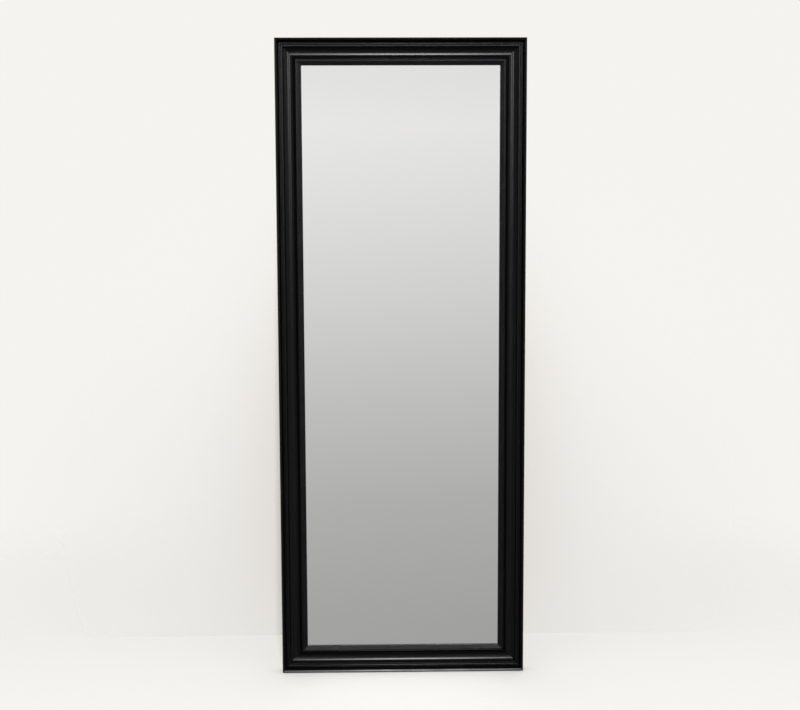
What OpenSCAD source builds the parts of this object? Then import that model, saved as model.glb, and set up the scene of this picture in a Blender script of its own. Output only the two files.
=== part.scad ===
// Full-length mirror in a moulded and mitred black frame, with its glass, backing
// and hanging hardware. The front faces -Y and the mirror stands upright on z = 0.

/* [Frame] */
// Outer width of the frame
frame_w = 700; // [480:5:900]
// Outer height of the frame, without the foot pads
frame_h = 1810; // [1300:10:2000]
// Depth of the moulding from its back to the crest of the outer rim
moulding_d = 40; // [38:0.5:46]

/* [Moulding members, from the glass outwards] */
// Width of the bevel beside the glass
bevel_w = 11.5; // [10.5:0.5:13]
// Angle of the bevel, rising away from the glass
bevel_slope = 16; // [12:1:22]
// Radius of the nose at the edge of the glass
nose_r = 0.8; // [0.4:0.1:1.2]
// Width of the groove between the bevel and the cove
inner_quirk_w = 3; // [2:0.5:4]
// Depth of the floor of the inner groove from the back of the frame
inner_floor_d = 18; // [15:0.5:19]
// Width of the flat land along each edge of the cove
cove_land_w = 1; // [0.5:0.25:2]
// Width of the large cove between its two lands
cove_w = 36; // [32:0.5:38]
// Radius of the large cove
cove_r = 21; // [20:0.5:26]
// Depth of the cove's two lands from the back of the frame
cove_edge_d = 20; // [19:0.5:22]
// Width of the groove between the cove and the small bead
outer_quirk_w = 3; // [2:0.5:5]
// Depth of the floor of the outer grooves from the back of the frame
outer_floor_d = 18.5; // [16:0.5:19]
// Width of the small bead
bead_w = 4.5; // [3:0.25:6]
// Height of the small bead over the floor of its grooves
bead_rise = 3.5; // [3.2:0.1:4.5]
// Width of the groove between the small bead and the outer rim
rim_quirk_w = 2; // [1:0.25:3]
// Width of the outer rim
rim_w = 10; // [9:0.5:14]
// Height of the straight step at the foot of the rim's hollow wall
rim_step = 1.5; // [0.5:0.25:3]
// Width of the sloping land on top of the rim, with its outer arris
rim_land_w = 6; // [4.5:0.25:7]
// Angle of the rim's land, falling towards the glass
rim_slope = 26; // [16:1:40]
// Radius of the outer arris of the rim
arris_r = 1.5; // [0.5:0.25:2.5]

/* [Rebate and glazing] */
// Width of the rebate that holds the glass
rebate_w = 10; // [7:0.5:12]
// Depth of the rebate from the back of the frame
rebate_d = 12; // [10.5:0.5:13]
// Thickness of the lip in front of the glass
lip_t = 6; // [4:0.25:6.5]
// Thickness of the mirror glass
glass_t = 4; // [3:0.5:5]
// Thickness of the safety film on the back of the glass
film_t = 0.3; // [0.2:0.1:0.5]
// Thickness of the backing board
board_t = 3; // [2.5:0.25:3.5]
// Gap between the edge of the glass and the wall of the rebate
edge_gap = 3; // [2:0.5:4]
// Length of each setting block and edge spacer
block_l = 40; // [20:5:60]
// Distance of the setting blocks and top spacers from the centre line
block_x = 170; // [100:5:190]
// Distance of the outer side spacers from mid height
spacer_z = 620; // [300:10:640]

/* [Flexible points] */
// Width of a flexible point
point_w = 6; // [4:0.5:9]
// Thickness of a flexible point
point_t = 0.6; // [0.5:0.1:1]
// Length of a point that is driven into the wood
point_in = 9; // [6:0.5:12]
// Length of a point that shows over the board
point_out = 8; // [5:0.5:12]
// Largest distance between two points
point_pitch = 165; // [120:5:260]
// Distance of the first point from the inner corner of the rebate
point_end = 55; // [30:5:90]

/* [Corner joints] */
// Length of each leg of a V-nail
nail_leg = 7; // [5:0.5:9]
// Thickness of the V-nail's steel
nail_t = 0.8; // [0.6:0.1:1]
// Length of a V-nail along its drive into the wood
nail_depth = 7; // [5:0.5:8]
// Depth of a V-nail's head under the back of the frame
nail_sink = 0.5; // [0.2:0.1:1]
// Distance of the inner V-nails from the edge of the glass
inner_nail_p = 24; // [20:1:30]
// Distance of the outer V-nails from the edge of the glass
outer_nail_p = 54; // [45:1:58]

/* [Hangers] */
// Distance of the ring's bar below the top of the frame
hanger_drop = 350; // [200:10:600]
// Distance of the hanger's middle from the outer side of the frame
hanger_inset = 21; // [20:0.5:23]
// Width of the hanger strap
strap_w = 20; // [16:1:24]
// Thickness of the strap's steel, which lies double
strap_t = 1.5; // [1:0.1:2]
// Length of the strap below the ring's bar
strap_l = 68; // [64:1:90]
// Distance below the bar at which the fold meets the lower layer
fold_l = 9; // [7:0.5:12]
// Distance of the upper screw below the bar
upper_screw = 38; // [36:1:40]
// Distance of the lower screw below the bar
lower_screw = 57; // [54:1:58]
// Diameter of the ring's wire
wire_d = 4; // [3:0.25:5]
// Inner width of the ring along its bar
ring_window_w = 30; // [28:0.5:32]
// Radius of the bend at each end of the bar
bend_r = 4; // [3.5:0.5:5]
// Length of the straight leg between a bend and the bow
leg_l = 4; // [2:0.5:5]
// Radial clearance of the bar in its fold
bar_clear = 0.05; // [0.03:0.01:0.1]
// Air between the resting ring and the strap
ring_air = 0.35; // [0.3:0.05:0.6]

/* [Screws] */
// Diameter of the screw's shank
screw_d = 3.5; // [3:0.25:4]
// Diameter of the screw's head
head_d = 7.2; // [6.5:0.1:9]
// Height of the screw's head
head_h = 2.2; // [1.8:0.1:3]
// Length of the screw under its head
screw_l = 15; // [12:0.5:16]
// Diameter of the hole in the strap
strap_hole_d = 4.4; // [4.2:0.1:5]
// Radial clearance of the shank in the wood
pilot_clear = 0.05; // [0.02:0.01:0.1]

/* [Bumpers and foot pads] */
// Diameter of a wall bumper
bumper_d = 16; // [10:1:24]
// Thickness of a wall bumper
bumper_t = 4; // [2:0.5:6]
// Distance of a bumper from the outer side of the frame, along the rail
bumper_end = 105; // [90:5:160]
// Distance of a bumper from the rail's outer face
bumper_inset = 22; // [14:1:36]
// Length of a foot pad
pad_l = 70; // [40:5:120]
// Width of a foot pad
pad_w = 20; // [10:1:28]
// Thickness of a foot pad
pad_t = 2; // [1:0.5:5]
// Distance of a foot pad's end from the outer side of the frame
pad_end = 40; // [20:5:90]

/* [Hidden] */
$fn = 64;
TOP = 0;
RIGHT = 90;
BOTTOM = 180;
LEFT = -90;
eps = 1;
// How deep a flat lies in the round that it runs into, so that the two always cross
bite = 0.02;
// Places of the members, counted from the edge of the glass outwards
inner_land_start = bevel_w + inner_quirk_w;
cove_start = inner_land_start + cove_land_w;
cove_mid = cove_start + cove_w / 2;
outer_land_end = cove_start + cove_w + cove_land_w;
bead_start = outer_land_end + outer_quirk_w;
rim_start = bead_start + bead_w + rim_quirk_w;
moulding_w = rim_start + rim_w;
lip_d = rebate_d + lip_t;
// Where the bevel leaves the round of the nose
bevel_from = [nose_r - (nose_r - bite) * sin(bevel_slope),
    lip_d - nose_r + (nose_r - bite) * cos(bevel_slope)];
bevel_top = bevel_from[1] + (bevel_w - bevel_from[0]) * tan(bevel_slope);
// Depth of the middle of the cove's circle, which stands in front of its lands
cove_mid_d = cove_edge_d + sqrt(pow(cove_r, 2) - pow(cove_w / 2, 2));
bead_r = bead_w / 2;
// The rim's land runs from the head of the hollow wall into the round of the arris
arris = [moulding_w - arris_r, moulding_d - arris_r];
land_end = [arris[0] - (arris_r - bite) * sin(rim_slope),
    arris[1] + (arris_r - bite) * cos(rim_slope)];
land_start_p = moulding_w - rim_land_w;
land_start_d = land_end[1] - (land_end[0] - land_start_p) * tan(rim_slope);
// The hollow wall stands upright at its head and leans back to the step at its foot
hollow_w = land_start_p - rim_start;
hollow_h = land_start_d - outer_floor_d - rim_step;
hollow_r = (pow(hollow_w, 2) + pow(hollow_h, 2)) / (2 * hollow_w);
// Glazing
stack_t = glass_t + film_t + board_t;
wall_p = moulding_w - rebate_w;
pane_w = frame_w - 2 * (wall_p + edge_gap);
pane_h = frame_h - 2 * (wall_p + edge_gap);
// Hangers
wire_r = wire_d / 2;
fold_r = wire_r + bar_clear;
pivot_h = fold_r + strap_t;
bow_r = ring_window_w / 2 + wire_r;
bar_half = bow_r - bend_r;
ring_l = bend_r + leg_l + bow_r;
// The resting ring leans on the air over the strap instead of cutting into it
ring_lift = 2 * strap_t + wire_r + ring_air - pivot_h;
ring_tilt = asin(ring_lift / ring_l);
ring_reach = pivot_h + ring_lift + wire_r;
recess_w = 1;
recess_l = head_d * 0.55;
recess_d = head_h * 0.6;
tip_l = screw_d * 1.4;
bumper_round = 1;
// Places in the frame of the part, whose origin is the middle of its base
mid_z = pad_t + frame_h / 2;
rear_reach = max(bumper_t, ring_reach);
back_y = (moulding_d - rear_reach) / 2;
hanger_x = frame_w / 2 - hanger_inset;
hanger_z = pad_t + frame_h - hanger_drop;

// Half of the frame's size across the member on a given side
function half_across(side) = (side == TOP || side == BOTTOM) ? frame_h / 2 : frame_w / 2;
// Outer length of the member on a given side
function member_l(side) = (side == TOP || side == BOTTOM) ? frame_w : frame_h;
// Places of the flexible points along one side, evenly spread
function point_places(side) =
    let (reach = member_l(side) / 2 - wall_p - point_end)
    let (gaps = ceil(2 * reach / point_pitch))
    [for (i = [0 : gaps]) -reach + i * 2 * reach / gaps];

// The side's own frame: x along the member, z outwards, y towards the wall
module on_side(side) {
    translate([0, back_y, mid_z])
        rotate([0, side, 0])
            children();
}

// A shape drawn in x and z, standing on the plane y = 0 and reaching t towards +y
module plate_xz(t) {
    translate([0, t, 0])
        rotate([90, 0, 0])
            linear_extrude(height = t)
                children();
}

// Small bead: half round, on a straight step over the floor of its grooves
module bead_2d() {
    translate([bead_start, outer_floor_d - eps])
        square([bead_w, bead_rise - bead_r + eps]);
    translate([bead_start + bead_r, outer_floor_d + bead_rise - bead_r])
        circle(bead_r);
}

// Outer rim: a step, a hollow wall, a land that falls inwards and a rounded arris
module rim_2d() {
    difference() {
        union() {
            polygon([[rim_start, 0], [moulding_w, 0], [moulding_w, arris[1]], arris,
                land_end, [land_start_p, land_start_d], [rim_start, land_start_d]]);
            translate(arris)
                circle(arris_r);
        }
        translate([land_start_p - hollow_r, land_start_d])
            circle(hollow_r, $fn = 256);
    }
}

// Section of the moulding: x from the edge of the glass outwards, y from the back
module moulding_section_2d() {
    difference() {
        union() {
            polygon([[0, 0], [rim_start + eps, 0], [rim_start + eps, outer_floor_d],
                [outer_land_end, outer_floor_d], [outer_land_end, cove_edge_d],
                [inner_land_start, cove_edge_d], [inner_land_start, inner_floor_d],
                [bevel_w, inner_floor_d], [bevel_w, bevel_top], bevel_from,
                [nose_r, lip_d - nose_r], [0, lip_d - nose_r]]);
            translate([nose_r, lip_d - nose_r])
                circle(nose_r);
            bead_2d();
            rim_2d();
        }
        translate([cove_mid, cove_mid_d])
            circle(cove_r, $fn = 128);
        translate([-eps, -eps])
            square([rebate_w + eps, rebate_d + eps]);
    }
}

// Stretch of moulding in the side's own frame, with both ends cut at 45 degrees
module mitred_moulding(side) {
    outer = half_across(side);
    half = member_l(side) / 2;
    intersection() {
        translate([0, 0, outer - moulding_w])
            rotate(a = 180, v = [1, 0, 1])
                linear_extrude(height = 2 * half, center = true)
                    moulding_section_2d();
        translate([0, -moulding_d - eps, 0])
            plate_xz(moulding_d + 2 * eps)
                polygon([[-half - eps, outer + eps], [half + eps, outer + eps],
                    [half - moulding_w - eps, outer - moulding_w - eps],
                    [-half + moulding_w + eps, outer - moulding_w - eps]]);
    }
}

// One member of the frame, with the pockets that its fasteners sit in
module frame_member(side) {
    color("#17171a")
        difference() {
            on_side(side)
                mitred_moulding(side);
            all_v_nails(nail_sink + eps);
            side_points(side);
            if (side == LEFT || side == RIGHT)
                hanger_screws(side == LEFT ? -1 : 1, pilot_clear);
        }
}

module top_rail() {
    frame_member(TOP);
}

module bottom_rail() {
    frame_member(BOTTOM);
}

module left_stile() {
    frame_member(LEFT);
}

module right_stile() {
    frame_member(RIGHT);
}

// V-nail across the mitre of the corner at sx, sz, at a distance p from the glass;
// drawn longer by over towards the wall, it is the slot that it sits in
module v_nail(sx, sz, p, over) {
    h = nail_t / 2;
    translate([sx * (frame_w / 2 - moulding_w + p), back_y - nail_sink - nail_depth,
            mid_z + sz * (frame_h / 2 - moulding_w + p)])
        plate_xz(nail_depth + over)
            scale_signs(sx, sz)
                polygon([[h, h], [-nail_leg, h], [-nail_leg, -h], [-h, -h],
                    [-h, -nail_leg], [h, -nail_leg]]);
}

// Turns a shape drawn for the upper right corner to the corner at sx, sz
module scale_signs(sx, sz) {
    mirror([sx < 0 ? 1 : 0, 0])
        mirror([0, sz < 0 ? 1 : 0])
            children();
}

module all_v_nails(over) {
    for (sx = [-1, 1], sz = [-1, 1], p = [inner_nail_p, outer_nail_p])
        v_nail(sx, sz, p, over);
}

module corner_v_nails() {
    color("#8b8f94")
        all_v_nails(0);
}

// Sheet of the glazing stack, seen from the back at depth d from the rebate's lip
module glazing_sheet(d, t) {
    translate([-pane_w / 2, back_y - rebate_d + d, mid_z - pane_h / 2])
        cube([pane_w, t, pane_h]);
}

module mirror_pane() {
    color("#c9d1d3")
        glazing_sheet(0, glass_t);
}

module safety_film() {
    color("#5d7480")
        glazing_sheet(glass_t, film_t);
}

module backing_board() {
    color("#7a5a3c")
        glazing_sheet(glass_t + film_t, board_t);
}

// Block in the gap between the glass and the rebate, at place s along one side
module edge_block(side, s) {
    on_side(side)
        translate([s - block_l / 2, -rebate_d, half_across(side) - wall_p - edge_gap])
            cube([block_l, stack_t, edge_gap]);
}

module setting_blocks() {
    color("#2f2f2f")
        for (s = [-block_x, block_x])
            edge_block(BOTTOM, s);
}

module edge_spacers() {
    color("#b58a5a") {
        for (s = [-block_x, block_x])
            edge_block(TOP, s);
        for (side = [LEFT, RIGHT], s = [-spacer_z, 0, spacer_z])
            edge_block(side, s);
    }
}

// Flexible point: a steel tongue over the board with an arrow end in the wood
module flexible_point_2d() {
    tip = point_w / 2;
    round_r = point_w / 2;
    polygon([[-point_w / 2, round_r - point_out], [point_w / 2, round_r - point_out],
        [point_w / 2, point_in - tip], [0, point_in], [-point_w / 2, point_in - tip]]);
    translate([0, round_r - point_out])
        circle(round_r);
}

// All the flexible points of one side, flat on the back of the board
module side_points(side) {
    on_side(side)
        for (s = point_places(side))
            translate([s, stack_t - rebate_d, half_across(side) - wall_p])
                plate_xz(point_t)
                    flexible_point_2d();
}

module framer_points() {
    color("#9a9fa3")
        for (side = [TOP, RIGHT, BOTTOM, LEFT])
            side_points(side);
}

// The hanger's own frame: origin on the ring's bar, z upwards, y towards the wall
module at_hanger(sx) {
    translate([sx * hanger_x, back_y + pivot_h, hanger_z])
        children();
}

// Side view of the folded strap: x downwards from the bar, y from the wood
module folded_strap_2d() {
    difference() {
        union() {
            translate([0, pivot_h])
                circle(pivot_h);
            square([strap_l, strap_t]);
            translate([fold_l, 0])
                square([strap_l - fold_l, 2 * strap_t]);
            polygon([[0, 2 * pivot_h], [0, 2 * pivot_h - strap_t], [fold_l, strap_t],
                [fold_l, 2 * strap_t]]);
        }
        translate([0, pivot_h])
            circle(fold_r);
    }
}

// Outline of the strap seen from behind, with its round lower end
module strap_outline_2d() {
    translate([-strap_w / 2, strap_w / 2 - strap_l])
        square([strap_w, strap_l - strap_w / 2 + pivot_h + eps]);
    translate([0, strap_w / 2 - strap_l])
        circle(strap_w / 2);
}

module hanger_strap(sx) {
    color("#b9b29c")
        at_hanger(sx)
            difference() {
                intersection() {
                    translate([0, -pivot_h, 0])
                        rotate([0, 90, 0])
                            linear_extrude(height = strap_w, center = true)
                                folded_strap_2d();
                    translate([0, -pivot_h - eps, 0])
                        plate_xz(2 * pivot_h + 2 * eps)
                            strap_outline_2d();
                }
                for (z = [upper_screw, lower_screw])
                    translate([0, 0, -z])
                        rotate([90, 0, 0])
                            cylinder(d = strap_hole_d, h = 2 * pivot_h + eps, center = true);
            }
}

module left_hanger_strap() {
    hanger_strap(-1);
}

module right_hanger_strap() {
    hanger_strap(1);
}

// Part of a bend of the ring's wire, from one angle over a sweep, about its own middle
module wire_bend(r, from, sweep) {
    rotate([90, 0, 0])
        rotate([0, 0, from])
            rotate_extrude(angle = sweep)
                translate([r, 0])
                    circle(wire_r, $fn = 32);
}

// D-shaped ring, drawn hanging straight down from its bar
module d_ring() {
    rotate([0, 90, 0])
        cylinder(r = wire_r, h = 2 * bar_half, center = true, $fn = 32);
    for (s = [-1, 1]) {
        translate([s * bar_half, 0, -bend_r])
            wire_bend(bend_r, s < 0 ? 90 : 0, 90);
        translate([s * bow_r, 0, -bend_r - leg_l])
            cylinder(r = wire_r, h = leg_l, $fn = 32);
    }
    translate([0, 0, -bend_r - leg_l])
        wire_bend(bow_r, 180, 180);
}

module hanger_ring(sx) {
    color("#c8c2ad")
        at_hanger(sx)
            rotate([ring_tilt, 0, 0])
                d_ring();
}

module left_hanger_ring() {
    hanger_ring(-1);
}

module right_hanger_ring() {
    hanger_ring(1);
}

// Half section of a screw: x from its axis, y towards the wall from under its head
module screw_section_2d(clear) {
    r = screw_d / 2 + clear;
    polygon([[0, 0], [r, 0], [r, tip_l - screw_l], [0, -screw_l - clear]]);
    intersection() {
        translate([0, head_h - head_d])
            circle(head_d);
        square([head_d / 2, head_h + eps]);
    }
}

// The two screws of one hanger; with a clearance they are the holes in the wood
module hanger_screws(sx, clear) {
    at_hanger(sx)
        for (z = [upper_screw, lower_screw])
            translate([0, 2 * strap_t - pivot_h, -z])
                rotate([-90, 0, 0])
                    difference() {
                        rotate_extrude()
                            screw_section_2d(clear);
                        for (a = [0, 90])
                            rotate([0, 0, a])
                                translate([-recess_l / 2, -recess_w / 2, head_h - recess_d])
                                    cube([recess_l, recess_w, head_h]);
                    }
}

module left_hanger_screws() {
    color("#8f8a78")
        hanger_screws(-1, 0);
}

module right_hanger_screws() {
    color("#8f8a78")
        hanger_screws(1, 0);
}

// Round bumper with a softened rear edge, on the back of a rail
module wall_bumper(sx, sz) {
    color("#3b3b3d")
        translate([sx * (frame_w / 2 - bumper_end), back_y,
                mid_z + sz * (frame_h / 2 - bumper_inset)])
            rotate([-90, 0, 0])
                rotate_extrude() {
                    square([bumper_d / 2, bumper_t - bumper_round]);
                    square([bumper_d / 2 - bumper_round, bumper_t]);
                    translate([bumper_d / 2 - bumper_round, bumper_t - bumper_round])
                        circle(bumper_round, $fn = 32);
                }
}

module upper_left_bumper() {
    wall_bumper(-1, 1);
}

module upper_right_bumper() {
    wall_bumper(1, 1);
}

module lower_left_bumper() {
    wall_bumper(-1, -1);
}

module lower_right_bumper() {
    wall_bumper(1, -1);
}

// Long round-ended pad under the bottom rail, under the middle of its outer face
module foot_pad(sx) {
    color("#3b3b3d")
        translate([sx * (frame_w / 2 - pad_end - pad_l / 2), back_y - moulding_d / 2, 0])
            linear_extrude(height = pad_t) {
                square([pad_l - pad_w, pad_w], center = true);
                for (s = [-1, 1])
                    translate([s * (pad_l - pad_w) / 2, 0])
                        circle(pad_w / 2);
            }
}

module left_foot_pad() {
    foot_pad(-1);
}

module right_foot_pad() {
    foot_pad(1);
}

top_rail();
bottom_rail();
left_stile();
right_stile();
corner_v_nails();
mirror_pane();
safety_film();
backing_board();
setting_blocks();
edge_spacers();
framer_points();
left_hanger_strap();
right_hanger_strap();
left_hanger_ring();
right_hanger_ring();
left_hanger_screws();
right_hanger_screws();
upper_left_bumper();
upper_right_bumper();
lower_left_bumper();
lower_right_bumper();
left_foot_pad();
right_foot_pad();
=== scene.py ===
"""Looks of a full-length mirror in a mitred black moulding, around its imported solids.

Lengths are in metres. The mirror stands upright on z = 0, its glass faces -Y and its
hangers are on the +Y side.
"""

import math

import bpy
import numpy as np
from mathutils import Euler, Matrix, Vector


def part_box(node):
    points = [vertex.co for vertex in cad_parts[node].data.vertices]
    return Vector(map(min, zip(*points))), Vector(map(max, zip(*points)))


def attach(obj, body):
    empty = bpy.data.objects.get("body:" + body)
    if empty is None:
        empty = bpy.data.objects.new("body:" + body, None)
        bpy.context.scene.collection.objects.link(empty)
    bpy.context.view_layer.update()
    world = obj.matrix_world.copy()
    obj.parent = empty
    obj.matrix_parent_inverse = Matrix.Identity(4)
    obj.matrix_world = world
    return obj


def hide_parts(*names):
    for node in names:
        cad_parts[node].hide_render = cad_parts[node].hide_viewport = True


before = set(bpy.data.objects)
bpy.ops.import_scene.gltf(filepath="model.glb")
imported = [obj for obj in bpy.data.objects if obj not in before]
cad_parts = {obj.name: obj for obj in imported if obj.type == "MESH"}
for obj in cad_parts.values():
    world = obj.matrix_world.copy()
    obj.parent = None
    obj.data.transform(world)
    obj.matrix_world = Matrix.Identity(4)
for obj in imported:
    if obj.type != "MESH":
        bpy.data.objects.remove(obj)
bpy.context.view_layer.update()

bl_info = {
    "name": "Moulded full-length mirror",
    "version": (1, 0, 0),
    "blender": (4, 5, 0),
    "location": "3D View > Sidebar > Mirror",
    "description": "Mitred black moulding, glazing, hangers and studio of a full-length mirror",
    "category": "Object",
}

MAIN_BODY = "mirror"

# Section of the moulding: p from the lip's edge outwards, d from the back to the front
MOULDING_W = 0.072
MOULDING_D = 0.040
REBATE_W = 0.010
REBATE_D = 0.012
LIP_D = 0.018
BEVEL_W = 0.0115
BEVEL_SLOPE = math.radians(16)
NOSE_R = 0.0008
INNER_LAND_P = 0.0145
INNER_FLOOR_D = 0.018
COVE_P = 0.0155
COVE_W = 0.036
COVE_R = 0.021
COVE_EDGE_D = 0.020
OUTER_LAND_P = 0.0525
OUTER_FLOOR_D = 0.0185
BEAD_P = 0.0555
BEAD_W = 0.0045
BEAD_RISE = 0.0035
RIM_P = 0.062
RIM_STEP = 0.0015
RIM_LAND_W = 0.006
RIM_SLOPE = math.radians(26)
ARRIS_R = 0.0015

# Steps along the section's arcs and along each rounded corner
COVE_STEPS = 72
HOLLOW_STEPS = 28
BEAD_STEPS = 24
ROUND_STEPS = 6

# Mesh of a member: distances of its extra sections from each mitre, even parts between
# the innermost two, and the shares by which an eased end sinks and its normals lean
END_SECTIONS = (0.02, 0.06)
LONG_PARTS = 11
EASE_SINK = 0.4
EASE_LEAN = 0.6

# Slots of the V-nails: places from the lip's edge, leg, thickness, depth and how far the
# cutter stands out at the back
NAIL_PLACES = (0.024, 0.054)
NAIL_LEG = 0.007
NAIL_T = 0.0008
NAIL_REACH = 0.0075
CUTTER_OUT = 0.001

# Cosine to the face's own normal, and length, down to which a stored normal is kept
NORMAL_COSINE = 0.8
NORMAL_LENGTH = 0.5

# Margins within which a vertex counts to the back, the lip's side, the rebate or an outer side
BACK_MARGIN = 0.0003
LIP_MARGIN = 0.0005
REBATE_START = 0.001
REBATE_MARGIN_P = 0.0005
REBATE_MARGIN_D = 0.0004
SIDE_MARGIN = 0.0001

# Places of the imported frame
rail_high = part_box("top_rail")[1]
stile_low, stile_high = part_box("left_stile")
BACK_Y = rail_high.y
HALF_W = rail_high.x
HALF_H = (stile_high.z - stile_low.z) / 2
MID_Z = (stile_high.z + stile_low.z) / 2
TOP_Z = stile_high.z

# Outward direction of each member across its length, and the direction it runs in
SIDES = {
    "top_rail": ((0, 0, 1), (1, 0, 0)),
    "bottom_rail": ((0, 0, -1), (-1, 0, 0)),
    "right_stile": ((1, 0, 0), (0, 0, -1)),
    "left_stile": ((-1, 0, 0), (0, 0, 1)),
}

# Lacquer: specular level and roughness, what worn and thinly coated places add to it, and
# the roughness of the bare wood
LACQUER_SPECULAR = 0.17
LACQUER_ROUGH = (0.19, 0.22)
WORN_ROUGH = 0.06
THIN_COAT_ROUGH = 0.4
BARE_ROUGH = 0.62

# Pane: roughness of its front, roughness and colour of its back, and the y of a face's
# normal below which the face is the front
PANE_FRONT_ROUGH = (0.008, 0.016)
PANE_BACK_ROUGH = 0.3
PANE_BACK_COLOUR = (0.16, 0.2, 0.18)
FRONT_NORMAL_Y = -0.5

# By how much the roughness varies: rubber's, with steel's drawn lines and with its stains
RUBBER_VARIES = 0.06
LINES_VARY = (-0.06, 0.05)
STAINS_VARY = (0.06, -0.03)

# Values between which nearly all of a noise lies
NOISE_SPAN = (0.3, 0.7)

# Threads of the film 1 mm apart and dimples of the board 1.8 mm apart, in radians a metre
FILM_THREADS = 6283.0
BOARD_DIMPLES = 3490.0

# Floor and wall: half widths, and the distances and heights at which they are gone, the
# wall's height as a share of the frame's top
FLOOR_HALF = 3
FLOOR_REACH = 2.6
FLOOR_DROP = 1.0
WALL_HALF = 2
WALL_REACH = 1.35
WALL_DROP = 0.98

# Shares of those distances and heights within which they are whole
FULL_REACH = 0.35
FULL_DROP = 0.5

# Place that the wall fades away from, and how far its foot and head are behind the frame
WALL_CENTRE = (0, 0.2, 0.3)
WALL_FOOT = 0.30
WALL_HEAD = 0.012

# Softbox over the front
SOFTBOX_PLACE = (0.25, -8.0, 5.4)
SOFTBOX_TARGET = (0, 0, 1.2)
SOFTBOX_SIZE = (1.25, 2.7)

# Greys of the screen before the glass, the side panels, the room around them and the
# room behind the mirror, from straight down (0) to straight up (1)
SCREEN_GREYS = [
    (0.28, 0.38), (0.345, 0.41), (0.39, 0.48), (0.43, 0.585),
    (0.47, 0.71), (0.51, 0.82), (0.54, 0.895), (0.56, 0.85), (0.62, 0.8),
]
PANEL_GREYS = [(0.25, 0.4), (0.4, 0.45), (0.5, 0.6), (0.555, 1.1), (0.65, 1.3), (0.8, 0.9), (0.95, 0.3)]
ROOM_GREYS = [(0.0, 0.12), (0.25, 0.2), (0.4, 0.3), (0.5, 0.36), (0.6, 0.32), (0.75, 0.2), (1.0, 0.12)]
REAR_GREYS = [(0.0, 0.25), (0.45, 0.4), (0.62, 0.95), (0.8, 0.55), (1.0, 0.9)]

# Spans of a ray's x, y or z from where a part of that room isn't seen to where it is seen
# in full; the strips' insides and outsides are measured from their middle
SCREEN_SIDES = (0.45, 0.12)
SCREEN_FOOT = (-0.7, -0.36)
SCREEN_HEAD = (0.22, 0.145)
PANEL_LEVEL = (0.8, 0.2)
RIGHT_PANEL = (0.2, 0.6)
LEFT_PANEL = (-0.4, -0.8)
STRIP_INSIDE = (0.14, 0.19)
STRIP_OUTSIDE = (0.32, 0.27)
STRIP_FOOT = (0.0, 0.16)
STRIP_HEAD = (0.5, 0.35)
REAR_SPAN = (0.0, 0.3)

# The strips' middle and colour, the left panel's share, and how the screen changes with x
# and the even light with z
STRIP_MIDDLE = 0.02
STRIP_COLOUR = (17.0, 17.0, 17.7)
LEFT_SHARE = 0.3
SCREEN_FALL = -0.22
OVERHEAD_GAIN = 0.42

# Camera: place from the middle of the glass's front, tilt, turn and roll in radians, focal
# length and photograph's width in pixels, and the sensor's width in millimetres
CAMERA_PLACE = (-0.065, -3.5, 0.384)
CAMERA_PITCH = 0.10364
CAMERA_YAW = -0.0171
CAMERA_ROLL = -0.00375
FOCAL_PIXELS = 1231
PHOTO_PIXELS = 800
SENSOR_MM = 36


class MirrorSizes(bpy.types.PropertyGroup):
    """Small roundings that the making of the frame leaves."""

    arris_round: bpy.props.FloatProperty(
        name="Arris round", description="Radius of the sanded arrises",
        default=0.00045, unit="LENGTH",
    )
    quirk_round: bpy.props.FloatProperty(
        name="Quirk round", description="Radius that the lacquer leaves in a quirk",
        default=0.0003, unit="LENGTH",
    )
    mitre_ease: bpy.props.FloatProperty(
        name="Mitre ease", description="Width of the eased edge along a mitre",
        default=0.0002, unit="LENGTH",
    )


class MirrorFinishes(bpy.types.PropertyGroup):
    """Colours of the mirror's surfaces."""

    lacquer: bpy.props.FloatVectorProperty(
        name="Lacquer", description="Black of the moulding",
        default=(0.0022, 0.0022, 0.0026), subtype="COLOR",
    )
    bare_wood: bpy.props.FloatVectorProperty(
        name="Bare wood", description="Wood on the back of the frame",
        default=(0.53, 0.36, 0.21), subtype="COLOR",
    )
    silver: bpy.props.FloatVectorProperty(
        name="Silvered glass", description="Colour of the mirror's reflection",
        default=(0.89, 0.886, 0.876), subtype="COLOR",
    )
    film: bpy.props.FloatVectorProperty(
        name="Safety film", description="Film on the back of the glass",
        default=(0.12, 0.17, 0.2), subtype="COLOR",
    )
    board: bpy.props.FloatVectorProperty(
        name="Hardboard", description="Backing board",
        default=(0.2, 0.115, 0.06), subtype="COLOR",
    )
    rubber: bpy.props.FloatVectorProperty(
        name="Rubber", description="Bumpers, pads and setting blocks",
        default=(0.04, 0.04, 0.042), subtype="COLOR",
    )
    cork: bpy.props.FloatVectorProperty(
        name="Cork", description="Edge spacers",
        default=(0.4, 0.24, 0.12), subtype="COLOR",
    )
    steel: bpy.props.FloatVectorProperty(
        name="Rolled steel", description="V-nails and flexible points",
        default=(0.5, 0.51, 0.52), subtype="COLOR",
    )
    zinc: bpy.props.FloatVectorProperty(
        name="Zinc plating", description="Hanger straps, rings and screws",
        default=(0.66, 0.64, 0.58), subtype="COLOR",
    )


class MirrorStudio(bpy.types.PropertyGroup):
    """Backdrop and light."""

    backdrop: bpy.props.FloatVectorProperty(
        name="Backdrop", description="Colour of the floor and the backdrop",
        default=(0.905, 0.896, 0.864), subtype="COLOR",
    )
    softbox_power: bpy.props.FloatProperty(
        name="Softbox power", description="Power of the lamp over the front",
        default=560.0, unit="POWER",
    )
    room_light: bpy.props.FloatProperty(
        name="Room light", description="Strength of the even light from all round",
        default=0.525, min=0.0, subtype="FACTOR",
    )


# Section of the moulding


def unit(v):
    """Each row of v divided by its length."""
    return v / np.linalg.norm(v, axis=-1, keepdims=True)


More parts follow.
